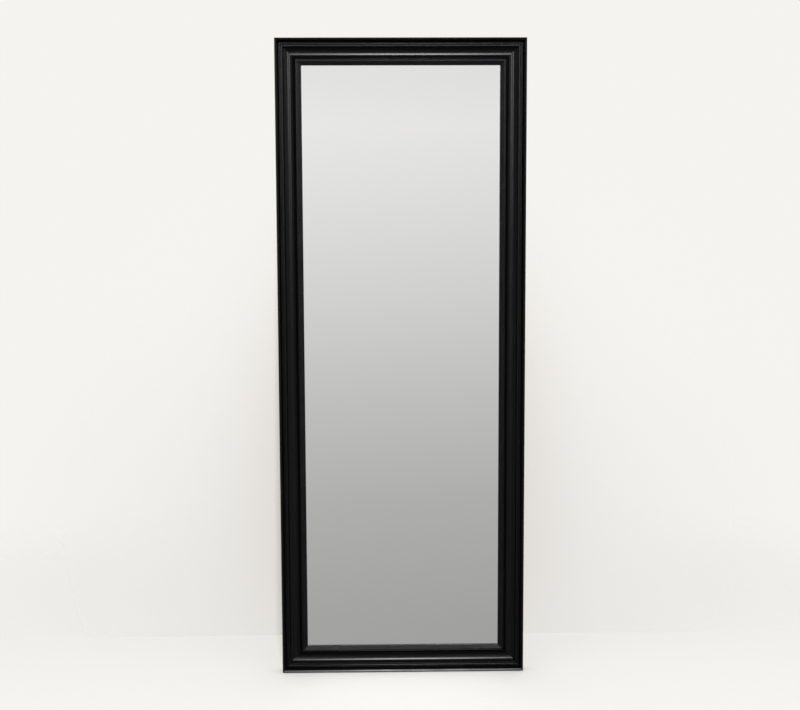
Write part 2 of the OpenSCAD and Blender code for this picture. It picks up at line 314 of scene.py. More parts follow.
def arc(centre, radius, start, end, steps):
    """Points centre + radius (cos a, sin a) for a evenly spread from start to end."""
    a = np.linspace(start, end, steps + 1)
    ray = np.stack([np.cos(a), np.sin(a)], 1)
    return np.asarray(centre) + radius * ray, ray


def corners(rows):
    """Rows of p, d, radius and an empty normal for the corners of straight stretches."""
    rows = np.asarray(rows, float)
    return np.concatenate([rows, np.zeros((len(rows), 2))], 1)


def arc_rows(points, normals, first_round, last_round):
    """Rows of p, d, radius and normal for the points of an arc, rounded at its ends."""
    radii = np.zeros((len(points), 1))
    radii[0], radii[-1] = first_round, last_round
    return np.concatenate([points, radii, normals], 1)


def sharp_section(sizes):
    """Counter-clockwise section of the moulding: points, rounding radii and normals.

    Straight stretches come from their corners, which carry the radius that rounds
    them; the cove, the bead and the rim's hollow wall are arcs with their own normals.
    The hollow's radius is (width squared + height squared) / (2 x width), which lets it
    end square to the rim's land.
    """
    ease, fill = sizes.arris_round, sizes.quirk_round
    slope = math.tan(RIM_SLOPE)
    land_p = MOULDING_W - RIM_LAND_W
    arris = np.array([MOULDING_W - ARRIS_R, MOULDING_D - ARRIS_R])
    tangent = arris + ARRIS_R * np.array([-math.sin(RIM_SLOPE), math.cos(RIM_SLOPE)])
    land_d = tangent[1] - (tangent[0] - land_p) * slope
    crest_d = tangent[1] + (MOULDING_W - tangent[0]) * slope
    wide, high = land_p - RIM_P, land_d - OUTER_FLOOR_D - RIM_STEP
    hollow_r = (wide**2 + high**2) / (2 * wide)
    hollow, hollow_ray = arc(
        (land_p - hollow_r, land_d), hollow_r, 0.0, -math.asin(high / hollow_r), HOLLOW_STEPS
    )
    bead_r = BEAD_W / 2
    bead, bead_ray = arc(
        (BEAD_P + bead_r, OUTER_FLOOR_D + BEAD_RISE - bead_r), bead_r, 0.0, math.pi, BEAD_STEPS
    )
    half = math.asin(COVE_W / 2 / COVE_R)
    centre = (COVE_P + COVE_W / 2, COVE_EDGE_D + COVE_R * math.cos(half))
    cove, cove_ray = arc(centre, COVE_R, half - math.pi / 2, -half - math.pi / 2, COVE_STEPS)
    rise = math.tan(BEVEL_SLOPE)
    nose_d = LIP_D - NOSE_R * (1 - math.cos(BEVEL_SLOPE)) - NOSE_R * (1 - math.sin(BEVEL_SLOPE)) * rise
    stretches = [
        corners([(REBATE_W, 0, ease), (MOULDING_W, 0, ease), (MOULDING_W, crest_d, ARRIS_R)]),
        arc_rows(hollow, -hollow_ray, ease, fill),
        corners([(RIM_P, OUTER_FLOOR_D, fill), (BEAD_P + BEAD_W, OUTER_FLOOR_D, fill)]),
        arc_rows(bead, bead_ray, 0, 0),
        corners([(BEAD_P, OUTER_FLOOR_D, fill), (OUTER_LAND_P, OUTER_FLOOR_D, fill),
                 (OUTER_LAND_P, COVE_EDGE_D, ease)]),
        arc_rows(cove, -cove_ray, ease, ease),
        corners([(INNER_LAND_P, COVE_EDGE_D, ease), (INNER_LAND_P, INNER_FLOOR_D, fill),
                 (BEVEL_W, INNER_FLOOR_D, fill), (BEVEL_W, nose_d + BEVEL_W * rise, ease),
                 (0, nose_d, NOSE_R), (0, REBATE_D, ease), (REBATE_W, REBATE_D, fill)]),
    ]
    rows = np.concatenate(stretches)
    return rows[:, :2], rows[:, 2], rows[:, 3:]


def rounded_outline(points, radii, normals):
    """Outline with its corners rounded: points, outward normals and the corner mask.

    A corner of radius r between the directions u and v becomes an arc about the point
    that lies r from both sides. Its normal turns from that of u to that of v.
    """
    to_here = unit(points - np.roll(points, 1, 0))
    from_here = unit(np.roll(points, -1, 0) - points)
    cross = to_here[:, 0] * from_here[:, 1] - to_here[:, 1] * from_here[:, 0]
    turn = np.arctan2(cross, (to_here * from_here).sum(1))
    side = np.where(turn >= 0, 1.0, -1.0)
    first = np.stack([to_here[:, 1], -to_here[:, 0]], 1)
    start = points - (radii * np.tan(np.abs(turn) / 2))[:, None] * to_here
    middle = start - (side * radii)[:, None] * first
    a = turn[:, None] * np.linspace(0, 1, ROUND_STEPS + 1)
    turned = np.stack([first[:, :1] * np.cos(a) - first[:, 1:] * np.sin(a),
                       first[:, :1] * np.sin(a) + first[:, 1:] * np.cos(a)], 2)
    arcs = middle[:, None] + (side * radii)[:, None, None] * turned
    single = radii == 0
    arcs[single] = points[single, None]
    turned[single] = normals[single, None]
    keep = np.ones(arcs.shape[:2], bool)
    keep[single, 1:] = False
    convex = np.repeat(((turn > 0) & (radii > 0))[:, None], arcs.shape[1], 1)
    return arcs[keep], unit(turned[keep]), convex[keep]


def half_sizes(out):
    """Half the frame's size in a member's outward direction, and along the member."""
    return (HALF_H, HALF_W) if abs(out[2]) > 0.5 else (HALF_W, HALF_H)


def tube_faces(rows, cols, turned_over):
    """Faces between neighbouring sections of a tube and a cap at each of its ends."""
    i, j = np.meshgrid(np.arange(rows - 1), np.arange(cols), indexing="ij")
    k = (j + 1) % cols
    quads = np.stack([i * cols + j, i * cols + k, (i + 1) * cols + k, (i + 1) * cols + j], -1)
    quads = quads.reshape(-1, 4)
    first_cap = np.arange(cols)[::-1]
    last_cap = np.arange(cols) + (rows - 1) * cols
    if turned_over:
        quads, first_cap, last_cap = quads[:, ::-1], first_cap[::-1], last_cap[::-1]
    return quads.tolist() + [first_cap.tolist(), last_cap.tolist()]


def float_attribute(mesh, name, values):
    """Stores one number for each vertex."""
    stored = mesh.attributes.new(name, "FLOAT", "POINT")
    stored.data.foreach_set("value", np.asarray(values, np.float32))


def vector_attribute(mesh, name, values):
    """Stores one vector for each vertex."""
    stored = mesh.attributes.new(name, "FLOAT_VECTOR", "POINT")
    stored.data.foreach_set("vector", np.asarray(values, np.float32).ravel())


def moulding_member(name, outline, outward_normals, arris, sizes):
    """Mesh of one member: its section carried along the member, mitred at both ends.

    A point p, d of the section lies at (half - w + p) outward and at back - d, and runs
    between plus and minus (end - w + p), so that both ends are cut at 45 degrees. Along
    each mitre the last stretch sinks a little, as an eased edge does.
    """
    out, along = (np.array(v, float) for v in SIDES[name])
    forward = np.array([0.0, -1, 0])
    across, end = half_sizes(out)
    inset = np.array([0.0, sizes.mitre_ease, *END_SECTIONS])
    part = np.linspace(0, 1, LONG_PARTS + 1)[1:-1]
    reach = end - MOULDING_W + outline[:, 0]
    ends = reach[None] - inset[:, None]
    inner = ends[-1] * (1 - 2 * part[:, None])
    s = np.concatenate([ends, inner, -ends[::-1]])
    sink = np.zeros(len(s))
    sink[[0, -1]] = EASE_SINK * sizes.mitre_ease
    centre = np.array([0, BACK_Y, MID_Z])
    normal = outward_normals[:, :1] * out + outward_normals[:, 1:] * forward
    base = (across - MOULDING_W + outline[:, :1]) * out + outline[:, 1:] * forward
    co = centre + base[None] + s[..., None] * along - sink[:, None, None] * normal[None]
    lean = np.zeros((len(s), 1, 1))
    lean[0], lean[-1] = EASE_LEAN, -EASE_LEAN
    shade = unit(normal[None] + lean * along)
    turned_over = np.dot(np.cross(along, out), forward) > 0
    mesh = bpy.data.meshes.new(name + "_moulding")
    mesh.from_pydata(co.reshape(-1, 3).tolist(), [], tube_faces(*s.shape, turned_over))
    vector_attribute(mesh, "face_way", shade.reshape(-1, 3))
    float_attribute(mesh, "arris", np.broadcast_to(arris.astype(float), s.shape).ravel())
    run = np.concatenate([[0], np.cumsum(np.linalg.norm(np.diff(outline, axis=0), axis=1))])
    place = np.stack([s, np.broadcast_to(run, s.shape)], -1).reshape(-1, 2)
    corner_vertex = np.zeros(len(mesh.loops), np.int32)
    mesh.loops.foreach_get("vertex_index", corner_vertex)
    uv = mesh.uv_layers.new(name="along_the_member")
    uv.uv.foreach_set("vector", place[corner_vertex].astype(np.float32).ravel())
    return mesh


def nail_slots():
    """Closed L-shaped prisms that stand in the slots of all the V-nails."""
    h, leg = NAIL_T / 2, NAIL_LEG
    outline = np.array([(h, h), (-leg, h), (-leg, -h), (-h, -h), (-h, -leg), (h, -leg)])
    count = len(outline)
    depth = np.array([BACK_Y - NAIL_REACH, BACK_Y + CUTTER_OUT])
    side = [(a, (a + 1) % count, (a + 1) % count + count, a + count) for a in range(count)]
    caps = [tuple(range(count))[::-1], tuple(range(count, 2 * count))]
    co, faces = [], []
    for sx in (-1, 1):
        for sz in (-1, 1):
            for p in NAIL_PLACES:
                x = sx * (HALF_W - MOULDING_W + p)
                z = MID_Z + sz * (HALF_H - MOULDING_W + p)
                flat = outline * (sx, sz) + (x, z)
                solid = np.concatenate([np.insert(flat, 1, y, 1) for y in depth])
                turn = slice(None) if sx * sz < 0 else slice(None, None, -1)
                faces += [tuple(v + len(co) * 2 * count for v in f[turn]) for f in side + caps]
                co.append(solid)
    mesh = bpy.data.meshes.new("nail_slots")
    mesh.from_pydata(np.concatenate(co).tolist(), [], faces)
    return mesh


def cut_slots(piece, cutter):
    """Cuts the nail slots out of a member and keeps the result as its mesh."""
    cut = piece.modifiers.new("nail slots", "BOOLEAN")
    cut.operation = "DIFFERENCE"
    cut.solver = "EXACT"
    cut.object = cutter
    bpy.context.view_layer.update()
    graph = bpy.context.evaluated_depsgraph_get()
    mesh = bpy.data.meshes.new_from_object(piece.evaluated_get(graph))
    piece.modifiers.clear()
    old = piece.data
    piece.data = mesh
    bpy.data.meshes.remove(old)


def shade_member(mesh):
    """Sets corner normals: the stored ones where they lie near the face's own normal."""
    loops, polygons = len(mesh.loops), len(mesh.polygons)
    vertex = np.zeros(loops, np.int32)
    mesh.loops.foreach_get("vertex_index", vertex)
    stored = np.zeros(len(mesh.vertices) * 3, np.float32)
    mesh.attributes["face_way"].data.foreach_get("vector", stored)
    stored = stored.reshape(-1, 3)[vertex]
    flat = np.zeros(polygons * 3, np.float32)
    mesh.polygons.foreach_get("normal", flat)
    total = np.zeros(polygons, np.int32)
    mesh.polygons.foreach_get("loop_total", total)
    flat = np.repeat(flat.reshape(-1, 3), total, 0)
    length = np.linalg.norm(stored, axis=1, keepdims=True)
    stored = stored / np.maximum(length, 1e-9)
    near = ((stored * flat).sum(1) > NORMAL_COSINE) & (length[:, 0] > NORMAL_LENGTH)
    mesh.polygons.foreach_set("use_smooth", np.ones(polygons, bool))
    mesh.normals_split_custom_set(np.where(near[:, None], stored, flat).tolist())


def coat_shares(mesh, name):
    """Shares of bare wood and of thin, dull lacquer at each vertex of a member.

    The back and the rebate are bare. The lip's side towards the glass and the frame's
    outer sides have the thin coat.
    """
    co = np.zeros(len(mesh.vertices) * 3, np.float32)
    mesh.vertices.foreach_get("co", co)
    co = co.reshape(-1, 3)
    out = np.array(SIDES[name][0], float)
    p = (co - (0, 0, MID_Z)) @ out - half_sizes(out)[0] + MOULDING_W
    d = BACK_Y - co[:, 1]
    rebate = (p > REBATE_START) & (p < REBATE_W + REBATE_MARGIN_P) & (d < REBATE_D + REBATE_MARGIN_D)
    lip = (p < LIP_MARGIN) & (d < LIP_D - NOSE_R / 2)
    outer_side = (p > MOULDING_W - SIDE_MARGIN) & (d < MOULDING_D - ARRIS_R)
    return np.where((d < BACK_MARGIN) | rebate, 1.0, 0.0), np.where(lip | outer_side, 1.0, 0.0)


# Nodes of the materials


def feed(tree, socket, value):
    """Gives a socket its value: another socket to link, a number, a vector or a colour."""
    if isinstance(value, bpy.types.NodeSocket):
        tree.links.new(value, socket)
    elif socket.type == "RGBA":
        socket.default_value = (*value[:3], 1)
    else:
        socket.default_value = value


def place_node(tree, kind, **values):
    """New node; each value is a property of the node or is fed to a socket of that name."""
    made = tree.nodes.new(kind)
    for key, value in values.items():
        if hasattr(made, key):
            setattr(made, key, value)
        else:
            feed(tree, made.inputs[key.replace("_", " ")], value)
    return made


def math_node(tree, operation, *values):
    """Math node on sockets or numbers; returns its output."""
    made = place_node(tree, "ShaderNodeMath", operation=operation)
    for socket, value in zip(made.inputs, values):
        feed(tree, socket, value)
    return made.outputs[0]


def product(tree, first, *others):
    """Product of sockets or numbers."""
    for other in others:
        first = math_node(tree, "MULTIPLY", first, other)
    return first


def add_share(tree, base, value, share):
    """base plus share times value."""
    return math_node(tree, "ADD", base, product(tree, value, share))


def ramp(tree, factor, stops):
    """Colour ramp through grey values or colours at the given places."""
    made = place_node(tree, "ShaderNodeValToRGB")
    bar = made.color_ramp
    while len(bar.elements) > 1:
        bar.elements.remove(bar.elements[-1])
    for index, (place, value) in enumerate(stops):
        element = bar.elements[0] if index == 0 else bar.elements.new(place)
        element.position = place
        rgb = (value,) * 3 if isinstance(value, (int, float)) else tuple(value)
        element.color = (*rgb, 1)
    tree.links.new(factor, made.inputs[0])
    return made.outputs[0]


def tone(colour, share):
    """The colour times a share, up to 1."""
    return [min(c * share, 1) for c in colour]


def blend_colours(tree, factor, a, b, mode="MIX"):
    """Mix of two colours, each a socket or a value."""
    made = place_node(tree, "ShaderNodeMix", data_type="RGBA", blend_type=mode)
    for index, value in ((0, factor), (6, a), (7, b)):
        feed(tree, made.inputs[index], value)
    return made.outputs[2]


def blend_values(tree, factor, a, b):
    """Mix of two numbers, each a socket or a value."""
    made = place_node(tree, "ShaderNodeMix", data_type="FLOAT")
    for index, value in ((0, factor), (2, a), (3, b)):
        feed(tree, made.inputs[index], value)
    return made.outputs[0]


def spread(tree, value, low, high):
    """Maps the span that a noise covers to low..high."""
    made = place_node(tree, "ShaderNodeMapRange", Value=value, To_Min=low, To_Max=high)
    made.inputs["From Min"].default_value, made.inputs["From Max"].default_value = NOISE_SPAN
    return made.outputs[0]


def smooth_step(tree, value, span):
    """0 at the span's start, 1 at its end and smooth between them."""
    made = place_node(tree, "ShaderNodeMapRange", interpolation_type="SMOOTHSTEP", Value=value)
    made.inputs["From Min"].default_value, made.inputs["From Max"].default_value = span
    return made.outputs[0]


def noise(tree, vector, **values):
    """Noise over a vector; returns its value."""
    return place_node(tree, "ShaderNodeTexNoise", Vector=vector, **values).outputs[0]


def stretched_noise(tree, vector, scale, **values):
    """Noise over a vector whose parts are first multiplied by those of scale."""
    mapped = place_node(tree, "ShaderNodeMapping", Vector=vector, Scale=scale)
    return noise(tree, mapped.outputs[0], Scale=1.0, **values)


def axes(tree, vector):
    """The three parts of a vector."""
    return place_node(tree, "ShaderNodeSeparateXYZ", Vector=vector).outputs


def object_place(tree):
    """Object coordinates."""
    return place_node(tree, "ShaderNodeTexCoord").outputs["Object"]


def stored_share(tree, name):
    """Number that a member's mesh stores at each vertex."""
    return place_node(tree, "ShaderNodeAttribute", attribute_name=name).outputs["Fac"]


def crossed_waves(tree, place, rate):
    """The sine of rate times X, multiplied by the sine of rate times Z."""
    part = axes(tree, place)
    waves = [math_node(tree, "SINE", product(tree, part[axis], rate)) for axis in ("X", "Z")]
    return product(tree, *waves)


def new_group(name, inputs, outputs):
    """Node group with float inputs (name, default), a Vector input and outputs."""
    group = bpy.data.node_groups.new(name, "ShaderNodeTree")
    group.interface.new_socket("Vector", in_out="INPUT", socket_type="NodeSocketVector")
    for label, default in inputs:
        made = group.interface.new_socket(label, in_out="INPUT", socket_type="NodeSocketFloat")
        made.default_value = default
    for label in outputs:
        group.interface.new_socket(label, in_out="OUTPUT", socket_type="NodeSocketFloat")
    return group, group.nodes.new("NodeGroupInput").outputs, group.nodes.new("NodeGroupOutput").inputs


def mottle_group():
    """Fine and broad unevenness of a finish: both are noise about one half."""
    name = "Finish mottle"
    if name in bpy.data.node_groups:
        return bpy.data.node_groups[name]
    group, given, out = new_group(name, [("Fine Scale", 900.0), ("Broad Scale", 9.0)], ["Fine", "Broad"])
    for label in ("Fine", "Broad"):
        uneven = noise(group, given["Vector"], Scale=given[label + " Scale"], Detail=3.0)
        group.links.new(uneven, out[label])
    return group


def drawn_lines_group():
    """Fine lines along Z of steel that was drawn or rolled, and stains in its plating.

    The lines are noise over a place whose Z is multiplied by Stretch: a small Stretch
    makes them long and a Stretch of 1 makes specks of them.
    """
    name = "Drawn lines"
    if name in bpy.data.node_groups:
        return bpy.data.node_groups[name]
    group, given, out = new_group(name, [("Scale", 1500.0), ("Stretch", 0.03)], ["Lines", "Stains"])
    x, y, z = axes(group, given["Vector"])
    joined = place_node(group, "ShaderNodeCombineXYZ", X=x, Y=y, Z=product(group, z, given["Stretch"]))
    group.links.new(noise(group, joined.outputs[0], Scale=given["Scale"], Detail=2.0), out["Lines"])
    group.links.new(noise(group, given["Vector"], Scale=120.0, Detail=4.0), out["Stains"])
    return group


def use_group(tree, group, vector, **values):
    """Places a group with its Vector and its values; returns its outputs."""
    return place_node(tree, "ShaderNodeGroup", node_tree=group, Vector=vector, **values).outputs


def set_surface(tree, shader, **values):
    """Feeds values or sockets to the surface's sockets of those names."""
    for key, value in values.items():
        feed(tree, shader.inputs[key.replace("_", " ")], value)


def start_material(name, **surface):
    """New material with a Principled surface whose plain values are set on it."""
    made = bpy.data.materials.new(name)
    made.use_nodes = True
    tree = made.node_tree
    shader = next(n for n in tree.nodes if n.type == "BSDF_PRINCIPLED")
    set_surface(tree, shader, **surface)
    return made, tree, shader


def bump(tree, shader, height, strength, distance):
    """Bump of height x distance in metres, shown by strength, on the surface's normal."""
    made = place_node(tree, "ShaderNodeBump", Height=height, Strength=strength, Distance=distance)
    tree.links.new(made.outputs[0], shader.inputs["Normal"])


def lacquer_material(finishes):
    """Satin black lacquer; the back and the rebate are bare wood with black overspray."""
    made, tree, shader = start_material("frame_lacquer", Specular_IOR_Level=LACQUER_SPECULAR)
    mottle = use_group(tree, mottle_group(), object_place(tree), Fine_Scale=1400.0, Broad_Scale=14.0)
    uv = place_node(tree, "ShaderNodeUVMap", uv_map="along_the_member").outputs[0]
    grain = stretched_noise(tree, uv, (7.0, 190.0, 1.0), Detail=6.0, Distortion=0.6)
    fibres = stretched_noise(tree, uv, (60.0, 2600.0, 1.0), Detail=3.0)
    figure = add_share(tree, product(tree, grain, 0.65), fibres, 0.35)
    light = finishes.bare_wood
    wood = ramp(tree, figure, [(0.32, tone(light, 0.55)), (0.5, light), (0.68, tone(light, 1.3))])
    spray = spread(tree, mottle["Broad"], 0.0, 0.3)
    edge = math_node(tree, "SUBTRACT", stored_share(tree, "bare"), spray)
    edge = add_share(tree, edge, spread(tree, mottle["Fine"], -0.5, 0.5), 0.25)
    bare = ramp(tree, edge, [(0.35, 0.0), (0.62, 1.0)])
    worn = product(tree, stored_share(tree, "arris"), spread(tree, mottle["Broad"], 0.1, 1.0))
    black = blend_colours(tree, worn, finishes.lacquer, tone(finishes.lacquer, 2.2))
    satin = add_share(tree, spread(tree, mottle["Broad"], *LACQUER_ROUGH), worn, WORN_ROUGH)
    satin = add_share(tree, satin, stored_share(tree, "thin_coat"), THIN_COAT_ROUGH)
    set_surface(
        tree, shader,
        Base_Color=blend_colours(tree, bare, black, wood),
        Roughness=blend_values(tree, bare, satin, BARE_ROUGH),
    )
    height = add_share(tree, product(tree, mottle["Fine"], 0.25), product(tree, fibres, bare), 1.6)
    bump(tree, shader, height, strength=0.12, distance=0.00004)
    return made


def mirror_material(finishes):
    """Silvered glass in front; its painted back and its seamed edge are dull."""
    made, tree, shader = start_material("mirror_glass", Metallic=1.0)
    mottle = use_group(tree, mottle_group(), object_place(tree), Fine_Scale=260.0, Broad_Scale=1.6)
    normal = place_node(tree, "ShaderNodeNewGeometry").outputs["Normal"]
    front = math_node(tree, "LESS_THAN", axes(tree, normal)["Y"], FRONT_NORMAL_Y)
    silver = blend_colours(tree, mottle["Broad"], tone(finishes.silver, 0.992), finishes.silver)
    clean = spread(tree, mottle["Fine"], *PANE_FRONT_ROUGH)
    set_surface(
        tree, shader,
        Base_Color=blend_colours(tree, front, PANE_BACK_COLOUR, silver),
        Roughness=blend_values(tree, front, PANE_BACK_ROUGH, clean),
    )
    return made


def film_material(finishes):
    """Blue-grey film with a woven look: crossed fine waves."""
    made, tree, shader = start_material("safety_film", Roughness=0.42)
    weave = crossed_waves(tree, object_place(tree), FILM_THREADS)
    raised = math_node(tree, "MULTIPLY_ADD", weave, 0.5, 0.5)
    tint = ramp(tree, raised, [(0.0, tone(finishes.film, 0.8)), (1.0, tone(finishes.film, 1.2))])
    set_surface(tree, shader, Base_Color=tint)
    bump(tree, shader, weave, strength=0.5, distance=0.00005)
    return made


def board_material(finishes):
    """Brown hardboard with the screen's small dimples and pressed fibres; its colour is darkened in the
    dimples as painted shade.
    """
    made, tree, shader = start_material("hardboard", Roughness=0.75)
    place = object_place(tree)
    mottle = use_group(tree, mottle_group(), place, Fine_Scale=420.0, Broad_Scale=7.0)
    fibres = noise(tree, place, Scale=130.0, Detail=8.0, Distortion=2.5)
    pulp = add_share(tree, product(tree, fibres, 0.6), mottle["Broad"], 0.4)
    colour = finishes.board
    tint = ramp(tree, pulp, [(0.34, tone(colour, 0.6)), (0.52, colour), (0.7, tone(colour, 1.45))])
    screen = crossed_waves(tree, place, BOARD_DIMPLES)
    # Painted shade: the colour is darkened where the screen's dimples sink in
    painted_dimple_shade = ramp(tree, screen, [(0.35, 0.0), (0.9, 0.35)])
    set_surface(tree, shader, Base_Color=blend_colours(tree, painted_dimple_shade, tint, tone(colour, 0.45)))
    bump(tree, shader, add_share(tree, mottle["Fine"], screen, -0.6), strength=0.6, distance=0.00012)
    return made


def rubber_material(name, colour, roughness):
    """Dull rubber with moulding bloom."""
    made, tree, shader = start_material(name, Specular_IOR_Level=0.4)
    mottle = use_group(tree, mottle_group(), object_place(tree), Fine_Scale=2600.0, Broad_Scale=60.0)
    bloom = spread(tree, mottle["Broad"], 0.0, 1.0)
    set_surface(
        tree, shader,
        Base_Color=blend_colours(tree, bloom, tone(colour, 0.8), tone(colour, 1.5)),
        Roughness=spread(tree, mottle["Broad"], roughness - RUBBER_VARIES, roughness + RUBBER_VARIES),
    )
    bump(tree, shader, mottle["Fine"], strength=0.4, distance=0.00008)
    return made


def cork_material(finishes):
    """Pressed cork granules: cells of differing brown with dark seams."""
    made, tree, shader = start_material("cork", Roughness=0.85)
    cells = place_node(tree, "ShaderNodeTexVoronoi", Vector=object_place(tree), Scale=700.0)
    granule = place_node(tree, "ShaderNodeSeparateColor", Color=cells.outputs["Color"]).outputs[0]
    colour = finishes.cork
    tint = ramp(tree, granule, [(0.0, tone(colour, 0.4)), (0.5, colour), (1.0, tone(colour, 1.4))])
    set_surface(tree, shader, Base_Color=tint)
    bump(tree, shader, cells.outputs["Distance"], strength=0.6, distance=0.0003)
    return made


def steel_material(name, colour, roughness, stretch):
    """Steel with drawn lines and faint stains in its plating."""
    made, tree, shader = start_material(name, Metallic=1.0)
    lines = use_group(tree, drawn_lines_group(), object_place(tree), Scale=1800.0, Stretch=stretch)
    stained = spread(tree, lines["Stains"], 0.0, 1.0)
    drawn = spread(tree, lines["Lines"], *(roughness + change for change in LINES_VARY))
    dulled = spread(tree, lines["Stains"], *STAINS_VARY)
    set_surface(
        tree, shader,
        Base_Color=blend_colours(tree, stained, tone(colour, 0.86), tone(colour, 1.08)),
        Roughness=math_node(tree, "ADD", drawn, dulled),
    )
    bump(tree, shader, lines["Lines"], strength=0.25, distance=0.00003)
    return made


def finish_node(name, material):
    """Gives a solid of the frame its material."""
    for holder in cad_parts[name].material_slots:
        holder.material = material


# Stage


def plane_patch(name, half, near, far, material):
    """Flat patch of the stage from y, z = near to far, reaching half to either side."""
    mesh = bpy.data.meshes.new(name)
    places = [(-half, *near), (half, *near), (half, *far), (-half, *far)]
    mesh.from_pydata(places, [], [(0, 1, 2, 3)])
    patch = bpy.data.objects.new(name, mesh)
    mesh.materials.append(material)
    bpy.context.scene.collection.objects.link(patch)


def backdrop_material(name, colour, reach, drop, centre):
    """Pale matt backdrop for the camera that fades into the world's own pale colour.

    It shows to camera rays from its front alone and is clear to all others, so it takes
    the object's shadow and neither hides the back nor shows in the glass. It is gone at
    the distance reach from centre and at the height drop, and whole within a share of each.
    """
    made = bpy.data.materials.new(name)
    made.use_nodes = True
    tree = made.node_tree
    tree.nodes.clear()
    place = object_place(tree)
    offset = place_node(tree, "ShaderNodeVectorMath", operation="DISTANCE", Vector=place)
    offset.inputs[1].default_value = centre
    near = smooth_step(tree, offset.outputs["Value"], (reach, reach * FULL_REACH))
    low = smooth_step(tree, axes(tree, place)["Z"], (drop, drop * FULL_DROP))
    camera_ray = place_node(tree, "ShaderNodeLightPath").outputs["Is Camera Ray"]
    back = place_node(tree, "ShaderNodeNewGeometry").outputs["Backfacing"]
    front = math_node(tree, "SUBTRACT", 1.0, back)
    clear = place_node(tree, "ShaderNodeBsdfTransparent").outputs[0]
    matt = place_node(tree, "ShaderNodeBsdfDiffuse", Color=colour).outputs[0]
    mix = place_node(tree, "ShaderNodeMixShader")
    for socket, value in zip(mix.inputs, (product(tree, near, low, camera_ray, front), clear, matt)):
        tree.links.new(value, socket)
    place_node(tree, "ShaderNodeOutputMaterial", Surface=mix.outputs[0])
    return made


def reflected_room(tree, x, y, z):
    """Colour of the room that the glass and the lacquer show, in the direction x, y, z.

    Straight in front of the mirror is a pale screen, whose grey falls towards the floor
    and a little towards +X. A broad panel stands on each side, the left one faint, and a
    bright upright strip above the horizon on either side of the middle. The room around
    them is dim, and the one behind the mirror is pale.
    """
    height = math_node(tree, "MULTIPLY_ADD", z, 0.5, 0.5)
    panel = ramp(tree, height, PANEL_GREYS)
    level = smooth_step(tree, math_node(tree, "ABSOLUTE", z), PANEL_LEVEL)
    right = product(tree, smooth_step(tree, x, RIGHT_PANEL), level)
    left = product(tree, smooth_step(tree, x, LEFT_PANEL), level, LEFT_SHARE)
    room = blend_colours(tree, right, ramp(tree, height, ROOM_GREYS), panel)
    room = blend_colours(tree, left, room, panel)
    fall = math_node(tree, "MULTIPLY_ADD", x, SCREEN_FALL, 1.0)
    screen = blend_colours(tree, 1.0, ramp(tree, height, SCREEN_GREYS), fall, "MULTIPLY")
    ahead = product(
        tree,
        smooth_step(tree, z, SCREEN_FOOT),
        smooth_step(tree, z, SCREEN_HEAD),
        smooth_step(tree, math_node(tree, "ABSOLUTE", x), SCREEN_SIDES),
    )
    room = blend_colours(tree, ahead, room, screen)
    apart = math_node(tree, "ABSOLUTE", math_node(tree, "SUBTRACT", x, STRIP_MIDDLE))
    strip = product(
        tree,
        smooth_step(tree, apart, STRIP_INSIDE),
        smooth_step(tree, apart, STRIP_OUTSIDE),
        smooth_step(tree, z, STRIP_FOOT),
        smooth_step(tree, z, STRIP_HEAD),
    )
    room = blend_colours(tree, strip, room, STRIP_COLOUR)
    return blend_colours(tree, smooth_step(tree, y, REAR_SPAN), room, ramp(tree, height, REAR_GREYS))


def studio_world(studio):
    """Light from all round, the room in the glass and the camera's pale background.

    Camera rays see the backdrop's colour. Glossy and transmitted rays that haven't met a
    matt surface see the room. All other rays get the even room light times (1 + gain
    times z), a little more from above than from below.
    """
    world = bpy.data.worlds.new("studio")
    world.use_nodes = True
    bpy.context.scene.world = world
    tree = world.node_tree
    tree.nodes.clear()
    x, y, z = axes(tree, place_node(tree, "ShaderNodeTexCoord").outputs["Generated"])
    path = place_node(tree, "ShaderNodeLightPath").outputs
    sharp = math_node(tree, "MAXIMUM", path["Is Glossy Ray"], path["Is Transmission Ray"])
    direct = math_node(tree, "LESS_THAN", path["Diffuse Depth"], 0.5)
    even = math_node(tree, "MULTIPLY_ADD", z, OVERHEAD_GAIN * studio.room_light, studio.room_light)
    lit = blend_colours(tree, product(tree, sharp, direct), even, reflected_room(tree, x, y, z))
    colour = blend_colours(tree, path["Is Camera Ray"], lit, studio.backdrop)
    light = place_node(tree, "ShaderNodeBackground", Color=colour, Strength=1.0)
    place_node(tree, "ShaderNodeOutputWorld", Surface=light.outputs[0])


def add_camera():
    """Camera at the photograph's place, aimed along +Y, then tilted down, turned and rolled."""
    data = bpy.data.cameras.new("camera")
    data.sensor_width = SENSOR_MM
    data.lens = FOCAL_PIXELS / PHOTO_PIXELS * SENSOR_MM
    camera = bpy.data.objects.new("camera", data)
    glass_low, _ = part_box("mirror_pane")
    camera.location = Vector((0, glass_low.y, MID_Z)) + Vector(CAMERA_PLACE)
    camera.rotation_mode = "QUATERNION"
    upright = Euler((math.pi / 2 - CAMERA_PITCH, 0, CAMERA_YAW), "XYZ").to_quaternion()
    camera.rotation_quaternion = upright @ Euler((0, 0, CAMERA_ROLL), "XYZ").to_quaternion()
    bpy.context.scene.collection.objects.link(camera)
    bpy.context.scene.camera = camera


def add_softbox(name, place, target, size, power):
    """Rectangular area lamp at a place, turned to its target."""
    data = bpy.data.lights.new(name, "AREA")
    data.shape = "RECTANGLE"
    data.size, data.size_y = size
    data.energy = power
    lamp = bpy.data.objects.new(name, data)
    lamp.location = place
    lamp.rotation_mode = "QUATERNION"
    lamp.rotation_quaternion = (Vector(target) - Vector(place)).to_track_quat("-Z", "Y")
    bpy.context.scene.collection.objects.link(lamp)


# Operators


